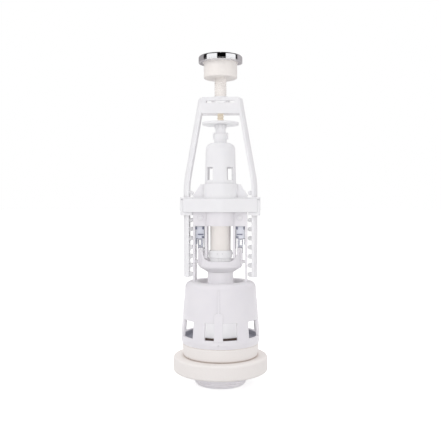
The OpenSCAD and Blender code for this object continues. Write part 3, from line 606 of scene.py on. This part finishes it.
deep = remap(pores, cells.outputs["Distance"], 0.05, 0.42, 1.0, 0.0)
patch = maths(pores, "MULTIPLY", deep, spread(pores, drift, 0.15, 0.85))
porous = blend_colours(pores, patch, given["Face Colour"], given["Pore Colour"])
crease_shaded = blend_colours(pores, open_share(pores, given["Crease Reach"]), given["Crease Shade Colour"],
                        porous)
pores.links.new(crease_shaded, made["Colour"])
pores.links.new(spread(pores, drift, 0.62, 0.8), made["Roughness"])
pores.links.new(maths(pores, "SUBTRACT", 1.0, patch), made["Skin"])
print("group:", pores.name)

# %% Make the rubbers
PORE_DEPTH = 0.0001
RUBBER_IOR = 1.45
RUBBER_CREASE_SHADE = (0.84, 0.80, 0.77)


def rubber(name, face, pore, pore_size, edge):
    """A rubber with pores of a second colour, and warm painted shade in its creases."""
    mat = bpy.data.materials.new(name)
    mat.use_nodes = True
    tree = mat.node_tree
    shader = tree.nodes["Principled BSDF"]
    body = tree.nodes.new("ShaderNodeGroup")
    body.node_tree = pores
    body.inputs["Face Colour"].default_value = srgb(*face)
    body.inputs["Pore Colour"].default_value = srgb(*pore)
    # Painted shade: the crease colour is the face colour darkened by these shares.
    body.inputs["Crease Shade Colour"].default_value = srgb(*(c * k for c, k in zip(face, RUBBER_CREASE_SHADE)))
    body.inputs["Pore Size"].default_value = pore_size
    tree.links.new(body.outputs["Colour"], shader.inputs["Base Color"])
    tree.links.new(body.outputs["Roughness"], shader.inputs["Roughness"])
    surface(mat, body.outputs["Skin"], edge, PORE_DEPTH)
    shader.inputs["IOR"].default_value = RUBBER_IOR
    return mat


cream_rubber = rubber("cream_rubber", (237, 232, 230), (229, 223, 220), 800.0, 0.001)
let_light_through(cream_rubber, 0.7, True)
gasket_rubber = rubber("gasket_rubber", (240, 235, 233), (232, 226, 223), 800.0, 0.001)
let_light_through(gasket_rubber, 0.8, False)
dark_rubber = rubber("dark_rubber", (84, 68, 62), (60, 48, 44), 1200.0, 0.0004)
print("rubbers:", cream_rubber.name, gasket_rubber.name, dark_rubber.name)

# %% [markdown]
# ## Metal
# Chrome plating on a turned bezel is almost a perfect mirror; what makes it real is a trace of
# polishing lines round it. Stretched noise gives them, on a Mapping node that squeezes the
# pattern along the axis. The spring's steel shares the group, with coarser values.

# %% Build the polishing lines
polish = bpy.data.node_groups.new("polishing_lines", "ShaderNodeTree")
add_socket(polish, "Smoothest", "INPUT", "NodeSocketFloat", 0.04)
add_socket(polish, "Roughest", "INPUT", "NodeSocketFloat", 0.1)
add_socket(polish, "Roughness", "OUTPUT", "NodeSocketFloat")
add_socket(polish, "Lines", "OUTPUT", "NodeSocketFloat")
given = polish.nodes.new("NodeGroupInput").outputs
made = polish.nodes.new("NodeGroupOutput").inputs
where = polish.nodes.new("ShaderNodeTexCoord").outputs["Object"]
squeeze = polish.nodes.new("ShaderNodeMapping")
squeeze.inputs["Scale"].default_value = (40.0, 40.0, 2400.0)
polish.links.new(where, squeeze.inputs["Vector"])
lines = noise(polish, 1.0, 3.0, squeeze.outputs["Vector"])
polish.links.new(spread(polish, lines, given["Smoothest"], given["Roughest"]), made["Roughness"])
polish.links.new(lines, made["Lines"])
print("group:", polish.name)

# %% Make the metals
METAL_EDGE = 0.0003


def metal(name, colour, smooth, rough, depth):
    """A metal with polishing lines of a given depth."""
    mat = bpy.data.materials.new(name)
    mat.use_nodes = True
    tree = mat.node_tree
    shader = tree.nodes["Principled BSDF"]
    shader.inputs["Base Color"].default_value = srgb(*colour)
    shader.inputs["Metallic"].default_value = 1.0
    face = tree.nodes.new("ShaderNodeGroup")
    face.node_tree = polish
    face.inputs["Smoothest"].default_value = smooth
    face.inputs["Roughest"].default_value = rough
    tree.links.new(face.outputs["Roughness"], shader.inputs["Roughness"])
    surface(mat, face.outputs["Lines"], METAL_EDGE, depth)
    return mat


chrome_plated = metal("chrome_plated", (245, 245, 247), 0.03, 0.09, 0.000002)
spring_steel = metal("spring_steel", (168, 170, 172), 0.22, 0.34, 0.00001)
print("metals:", chrome_plated.name, spring_steel.name)

# %% [markdown]
# ## Clear plastic
# The racks and pinions are clear plastic with a cold tint. A plain Transmission Weight is enough
# for them. Their guides are cloudier, and thick clear plastic looks dark, because light gets lost
# on its way through. The guides' dark ribs and clips also stand for the shade in the gaps at the
# guides' corners and edges, so part of their darkness is painted shade.

# %% Make the clear plastics
CLEAR_GRAIN = 1800.0
CLEAR_EDGE = 0.0003
CLEAR_IOR = 1.5


def clear(name, face, cloud, crease_shade, through, ior=PLASTIC_IOR):
    """A smooth clear plastic that lets a share of the light go through it."""
    mat = plastic(name, face, cloud, 0.06, 0.16, CLEAR_GRAIN, CLEAR_EDGE, crease_shade)
    shader = mat.node_tree.nodes["Principled BSDF"]
    shader.inputs["Transmission Weight"].default_value = through
    shader.inputs["IOR"].default_value = ior
    return mat


clear_plastic = clear("clear_plastic", (219, 219, 230), (211, 212, 225), 0.4, 0.55, CLEAR_IOR)
clear_guide = clear("clear_guide", (230, 231, 242), (220, 222, 236), 0.55, 0.2)
clear_thick_shaded = clear("clear_thick_shaded", (112, 114, 138), (98, 100, 126), 0.4, 0.0)
print("clear plastics:", clear_plastic.name, clear_guide.name, clear_thick_shaded.name)

# %% [markdown]
# ## Give every solid its finish
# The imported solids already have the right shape, so they stay, and only their material slots
# change. A table of finish and solids is easier to check than thirty single lines.

# %% Hand out the finishes
FINISHES = [
    (white_plastic, ["back_nut", "cover", "pinion_pin_left", "pinion_pin_right", "push_plate",
                     "stem_lock_ring", "plunger", "tube_collar", "seal_retainer"]),
    (basket_shaded_white, ["basket", "cage_frame", "lift_bowl"]),
    (foot_lit_white, ["valve_foot"]),
    (nut_lit_white, ["shank_nut"]),
    (yoke_white, ["yoke"]),
    (cream_rubber, ["doughnut_washer"]),
    (gasket_rubber, ["cistern_gasket"]),
    (tube_cream, ["overflow_tube"]),
    (chrome_plated, ["button_bezel", "button_cap"]),
    (clear_plastic, ["rack_fork", "pinion_left", "pinion_right", "lift_rack_left",
                     "lift_rack_right"]),
    (dark_rubber, ["flush_seal"]),
]
for finish, names in FINISHES:
    for name in names:
        for place in nodes[name].material_slots:
            place.material = finish
        if not nodes[name].material_slots:
            nodes[name].data.materials.append(finish)
print("finished solids:", sum(len(names) for _, names in FINISHES))

# %% [markdown]
# ## Turned and threaded pieces
# Three pieces carry a screw thread that the solids leave out: the outlet, the button's shank and
# the push rod. A turned body is a profile spun round the axis. A thread is a small closed section
# that the same operator spins with a step upward at each turn, so that it climbs as a helix.

# %% Tools for turning and threading
MM = 0.001
SUNK = 0.15


def turn(bm, profile, steps=128):
    """Spin a closed profile of (radius, height) in millimetres round the axis."""
    points = [bm.verts.new((r * MM, 0.0, z * MM)) for r, z in profile]
    edges = [bm.edges.new((points[i], points[i - 1])) for i in range(len(points))]
    bmesh.ops.spin(bm, geom=points + edges, cent=(0, 0, 0), axis=(0, 0, 1),
                   angle=2 * math.pi, steps=steps, use_merge=True)


def climb(bm, points, edges, turns, rise, steps):
    """Spin a closed section round the axis, rising in all by a height, and close its ends."""
    count = round(turns * steps)
    made = bmesh.ops.spin(bm, geom=points + edges, cent=(0, 0, 0), axis=(0, 0, 1), steps=count,
                          angle=2 * math.pi * count / steps, dvec=(0, 0, rise / (turns * steps)))
    last = [g for g in made["geom_last"] if isinstance(g, bmesh.types.BMEdge)]
    bmesh.ops.edgeloop_fill(bm, edges=edges)
    bmesh.ops.edgeloop_fill(bm, edges=last)


def wind(bm, root, crest, z0, z1, pitch, steps=64):
    """Wind a thread from z0 to z1, in millimetres. Its section has heights in shares of a pitch."""
    deep = root - SUNK
    half = (root + crest) / 2
    section = [(deep, -0.46), (half, -0.25), (crest, -0.08),
               (crest, 0.08), (half, 0.25), (deep, 0.46)]
    points = [bm.verts.new((r * MM, 0.0, (z0 + k * pitch) * MM)) for r, k in section]
    edges = [bm.edges.new((points[i], points[i - 1])) for i in range(len(points))]
    climb(bm, points, edges, (z1 - z0) / pitch, (z1 - z0) * MM, steps)


print("turning tools ready")

# %% [markdown]
# ## Closing a piece
# Every new piece ends in the same way. Doubles are merged and the faces turned outward, because
# spinning can turn a shape inside out. Then the piece gets its body and its slot, and if it stands
# for a solid, that solid is hidden.

# %% A last step for each piece
MERGE = 1e-6
SHARP = math.radians(32)


def keep(bm, name, body, finish, node):
    """Close the mesh, shade it, and let it stand for its solid."""
    bmesh.ops.remove_doubles(bm, verts=bm.verts, dist=MERGE)
    bmesh.ops.recalc_face_normals(bm, faces=bm.faces)
    for face in bm.faces:
        face.smooth = True
    for edge in bm.edges:
        if len(edge.link_faces) == 2 and edge.calc_face_angle() > SHARP:
            edge.smooth = False
    mesh = bpy.data.meshes.new(name)
    bm.to_mesh(mesh)
    bm.free()
    mesh.materials.append(finish)
    piece = bpy.data.objects.new(name, mesh)
    scene.collection.objects.link(piece)
    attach(piece, body)
    if node:
        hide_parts(node)
    print(name, "faces:", len(mesh.polygons))
    return piece


print("edges stay sharp over", round(math.degrees(SHARP)), "degrees")

# %% [markdown]
# ## The outlet
# The outlet goes through the cistern's floor. Its thread is a coarse pipe thread of eleven turns
# to the inch. The body is turned at the thread's root, and the ridge is wound on it.

# %% Make the threaded outlet
THREAD_CREST = 29.8
THREAD_ROOT = 28.7
THREAD_Z0 = 1.4
THREAD_Z1 = 13.8
PIPE_PITCH = 2.309
OUTLET_BORE = 26.0
NOSE_R = 28.0
NOSE_HEIGHT = 0.7
ROOT_Z1 = 14.6
NECK_R = 29.3
NECK_Z = 15.0
FLANGE_UNDER = 5.6
FLANGE_TOP = 2.0
SEAT_FOOT_R = 29.2
SEAT_R = 28.2
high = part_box("outlet_body")[1]
flange_r = high.x / MM
seat_z = high.z / MM
OUTLET = [(OUTLET_BORE, 0.0), (NOSE_R, 0.0), (THREAD_ROOT, NOSE_HEIGHT), (THREAD_ROOT, ROOT_Z1),
          (NECK_R, NECK_Z), (NECK_R, seat_z - FLANGE_UNDER), (flange_r, seat_z - FLANGE_UNDER),
          (flange_r, seat_z - FLANGE_TOP), (SEAT_FOOT_R, seat_z - FLANGE_TOP), (SEAT_R, seat_z),
          (OUTLET_BORE, seat_z)]
bm = bmesh.new()
turn(bm, OUTLET)
wind(bm, THREAD_ROOT, THREAD_CREST, THREAD_Z0, THREAD_Z1, PIPE_PITCH, steps=96)
keep(bm, "outlet_threaded", "valve_body", outlet_white, "outlet_body")

# %% [markdown]
# ## The button's housing
# Cup and shank are one moulding. The shank has a fine, shallow thread, so the housing can be
# turned in its nut to suit the thickness of the lid.

# %% Make the housing with its threaded shank
SHANK_CREST = 7.0
SHANK_ROOT = 6.5
SHANK_PITCH = 2.32
SHANK_BORE = 4.3
SHANK_EDGE = 0.4
THREAD_START = 1.1
THREAD_STOP = 4.0
RUN_OUT = 3.8
COLLAR_HEIGHT = 3.2
COLLAR_R = 6.7
CUP_HEIGHT = 19.2
CUP_R = 19.2
CUP_BORE = 17.2
CUP_FLOOR = 2.5
CUP_EDGE = 1.2
LIP_DEPTH = 1.6
LIP_EDGE = 0.4
ARC_STEPS = 8
low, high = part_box("button_housing")
shank_z0 = low.z / MM
flange_z = high.z / MM
lip_r = high.x / MM
cup_z0 = flange_z - CUP_HEIGHT
angles = [k * math.pi / 2 / ARC_STEPS for k in range(ARC_STEPS + 1)]
cup_edge = [(CUP_R - CUP_EDGE + CUP_EDGE * math.sin(a), cup_z0 + CUP_EDGE - CUP_EDGE * math.cos(a))
            for a in angles]
HOUSING = [(SHANK_BORE, shank_z0), (SHANK_ROOT - SHANK_EDGE, shank_z0),
           (SHANK_ROOT, shank_z0 + SHANK_EDGE), (SHANK_ROOT, cup_z0 - RUN_OUT),
           (COLLAR_R, cup_z0 - COLLAR_HEIGHT), (COLLAR_R, cup_z0), *cup_edge,
           (CUP_R, flange_z - LIP_DEPTH), (lip_r - LIP_EDGE, flange_z - LIP_DEPTH),
           (lip_r, flange_z - LIP_DEPTH + LIP_EDGE), (lip_r, flange_z), (CUP_BORE, flange_z),
           (CUP_BORE, cup_z0 + CUP_FLOOR), (SHANK_BORE, cup_z0 + CUP_FLOOR)]
bm = bmesh.new()
turn(bm, HOUSING)
wind(bm, SHANK_ROOT, SHANK_CREST, shank_z0 + THREAD_START, cup_z0 - THREAD_STOP, SHANK_PITCH)
keep(bm, "housing_threaded", "yoke_body", button_cream, "button_housing")

# %% [markdown]
# ## The bezel's skirt
# The chrome doesn't stop at the bezel's lower edge. A thin skirt goes on round the flange of the
# housing, so a low camera sees metal under the button as well.

# %% Turn the chrome skirt
SKIRT_IN = 20.2
SKIRT_R = 25.2
SKIRT_GAP = 0.03
SKIRT_WALL = 0.02
SKIRT_FOOT = 0.1
SKIRT_EDGE = 1.3
skirt_z0 = flange_z - LIP_DEPTH - SKIRT_GAP
skirt_z1 = flange_z + SKIRT_WALL
SKIRT = [(SKIRT_IN, skirt_z0), (lip_r + SKIRT_FOOT, skirt_z0), (SKIRT_R, flange_z - SKIRT_EDGE),
         (SKIRT_R, skirt_z1), (lip_r + SKIRT_GAP, skirt_z1),
         (lip_r + SKIRT_GAP, skirt_z0 + SKIRT_WALL), (SKIRT_IN, skirt_z0 + SKIRT_WALL)]
bm = bmesh.new()
turn(bm, SKIRT)
keep(bm, "bezel_skirt", "yoke_body", chrome_plated, None)

# %% [markdown]
# ## The push rod
# The rod screws into the push disc's stem, so that its length can be set. Its thread is coarse,
# and two turns of it show between the disc and the bridge.

# %% Make the threaded rod
ROD_CREST = 3.8
ROD_ROOT = 3.1
ROD_PITCH = 3.0
ROD_EDGE = 0.3
ROD_BORE = 1.2
BORE_DEPTH = 11.0
ROD_THREAD_START = 1.4
ROD_THREAD_Z1 = 335.0
PLAIN_Z0 = 336.0
PLAIN_RISE = 0.7
low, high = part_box("push_rod")
rod_z0 = low.z / MM
rod_z1 = high.z / MM
ROD = [(ROD_BORE, rod_z0), (ROD_ROOT - ROD_EDGE, rod_z0), (ROD_ROOT, rod_z0 + ROD_EDGE),
       (ROD_ROOT, PLAIN_Z0), (ROD_CREST, PLAIN_Z0 + PLAIN_RISE), (ROD_CREST, rod_z1),
       (0.0, rod_z1), (0.0, rod_z0 + BORE_DEPTH), (ROD_BORE, rod_z0 + BORE_DEPTH)]
bm = bmesh.new()
turn(bm, ROD, steps=64)
wind(bm, ROD_ROOT, ROD_CREST, rod_z0 + ROD_THREAD_START, ROD_THREAD_Z1, ROD_PITCH, steps=48)
keep(bm, "rod_threaded", "button", rod_cream, "push_rod")

# %% [markdown]
# ## The button's spring
# A coil spring is a circle of wire, spun round the axis with a step upward.

# %% Wind the spring
WIRE_R = 0.0006
SPRING_TURNS = 5
low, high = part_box("button_spring")
spring_length = high.z - low.z
bm = bmesh.new()
wire = bmesh.ops.create_circle(bm, segments=12, radius=WIRE_R)["verts"]
bmesh.ops.rotate(bm, verts=wire, cent=(0, 0, 0), matrix=Matrix.Rotation(math.pi / 2, 3, "X"))
bmesh.ops.translate(bm, verts=wire, vec=(high.x - WIRE_R, 0, low.z + WIRE_R))
climb(bm, wire, list(bm.edges), SPRING_TURNS, spring_length - 2 * WIRE_R, 48)
spring = keep(bm, "spring_wound", "yoke_body", spring_steel, "button_spring")
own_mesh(spring)
print("spring", round(spring_length / MM, 1), "mm long at rest")

# %% [markdown]
# ## The drive's guides
# The lift racks rise behind clear guide plates that hang in the header, one in front and one
# behind on each side. They stay clear of the racks and of the bowl's fingers at the top of the
# stroke. Their clips are thick, and thick clear plastic looks dark; the dark clips and ribs also
# paint the shade in the gaps at the guides' corners and edges.

# %% A tool for flat pieces
SIDES = [(right, front) for right in (-1, 1) for front in (-1, 1)]


def push(bm, outline, way):
    """Close an outline of points to a face, and push it along a way. Both are in millimetres."""
    face = bm.faces.new([bm.verts.new([c * MM for c in point]) for point in outline])
    made = bmesh.ops.extrude_face_region(bm, geom=[face], use_keep_orig=True)
    moved = [g for g in made["geom"] if isinstance(g, bmesh.types.BMVert)]
    bmesh.ops.translate(bm, verts=moved, vec=[c * MM for c in way])


print("sides:", SIDES)

# %% Make the guide plates
GUIDE_X0 = 17.0
GUIDE_GAP = 0.2
GUIDE_FACE = 8.48
GUIDE_BACK = 7.4
GUIDE_TOP = 186.0
GUIDE_FOOT = 168.4
LEG_FOOT = 156.0
LEG_X1 = 18.2
OUTER_FOOT = 161.0
OUTER_WIDTH = 1.8
guide_x1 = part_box("lift_rack_right")[1].x / MM + GUIDE_GAP
outer_x0 = guide_x1 - OUTER_WIDTH
GUIDE = [(GUIDE_X0, GUIDE_TOP), (guide_x1, GUIDE_TOP), (guide_x1, OUTER_FOOT),
         (outer_x0, OUTER_FOOT), (outer_x0, GUIDE_FOOT), (LEG_X1, GUIDE_FOOT),
         (LEG_X1, LEG_FOOT), (GUIDE_X0, LEG_FOOT)]


def plate(bm, outline, back, face, right, front):
    """Push an outline of (x, z) from one depth to another, on one side of each middle plane."""
    push(bm, [(right * x, -front * back, z) for x, z in outline], (0, -front * (face - back), 0))


bm = bmesh.new()
for right, front in SIDES:
    plate(bm, GUIDE, GUIDE_BACK, GUIDE_FACE, right, front)
keep(bm, "drive_guides", "valve_body", clear_guide, None)

# %% Make the guides' clips and ribs
RIB_SINK = 0.2
RIB_OUT = 0.4
RIBS = [
    ((19.2, 172.2), (25.6, 173.4)),
    ((18.8, 168.8), (21.0, 170.6)),
    ((17.8, 156.4), (18.2, 178.2)),
    ((18.2, 178.6), (20.4, 181.6)),
    ((guide_x1 - 2.8, 178.6), (guide_x1 - 0.4, 181.6)),
]
bm = bmesh.new()
for right, front in SIDES:
    for (x0, z0), (x1, z1) in RIBS:
        plate(bm, [(x0, z0), (x1, z0), (x1, z1), (x0, z1)], GUIDE_FACE - RIB_SINK,
              GUIDE_FACE + RIB_OUT, right, front)
# Painted shade in part: the dark ribs and clips sit where the guides' corners and edges are in
# shade.
keep(bm, "guide_ribs", "valve_body", clear_thick_shaded, None)

# %% [markdown]
# ## Beads on the posts
# Thin posts carry the cage, and a bead along each of their edges stiffens them. It is one outline
# pushed inward from the post, beside the way of the racks and the bowl's fingers.

# %% Make the posts' beads
BEAD_OUT = 1.0
BEAD_SINK = 0.1
BEAD_Y0 = 9.0
POST_Y = 10.5
POST_FOOT_Y = 13.0
POST_WALL = 1.6
FOOT_TABS = 2.4
HEADER_HEIGHT = 22.5
low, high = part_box("cage_frame")
bead_x = high.x / MM - POST_WALL + BEAD_SINK
post_z0 = low.z / MM + FOOT_TABS
post_z1 = high.z / MM - HEADER_HEIGHT
taper_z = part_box("lift_bowl")[1].z / MM
BEAD = [(BEAD_Y0, post_z0), (POST_FOOT_Y, post_z0), (POST_Y, taper_z), (POST_Y, post_z1),
        (BEAD_Y0, post_z1)]
bm = bmesh.new()
for right, front in SIDES:
    push(bm, [(right * bead_x, -front * y, z) for y, z in BEAD],
         (-right * (BEAD_OUT + BEAD_SINK), 0, 0))
keep(bm, "post_beads", "valve_body", basket_shaded_white, None)
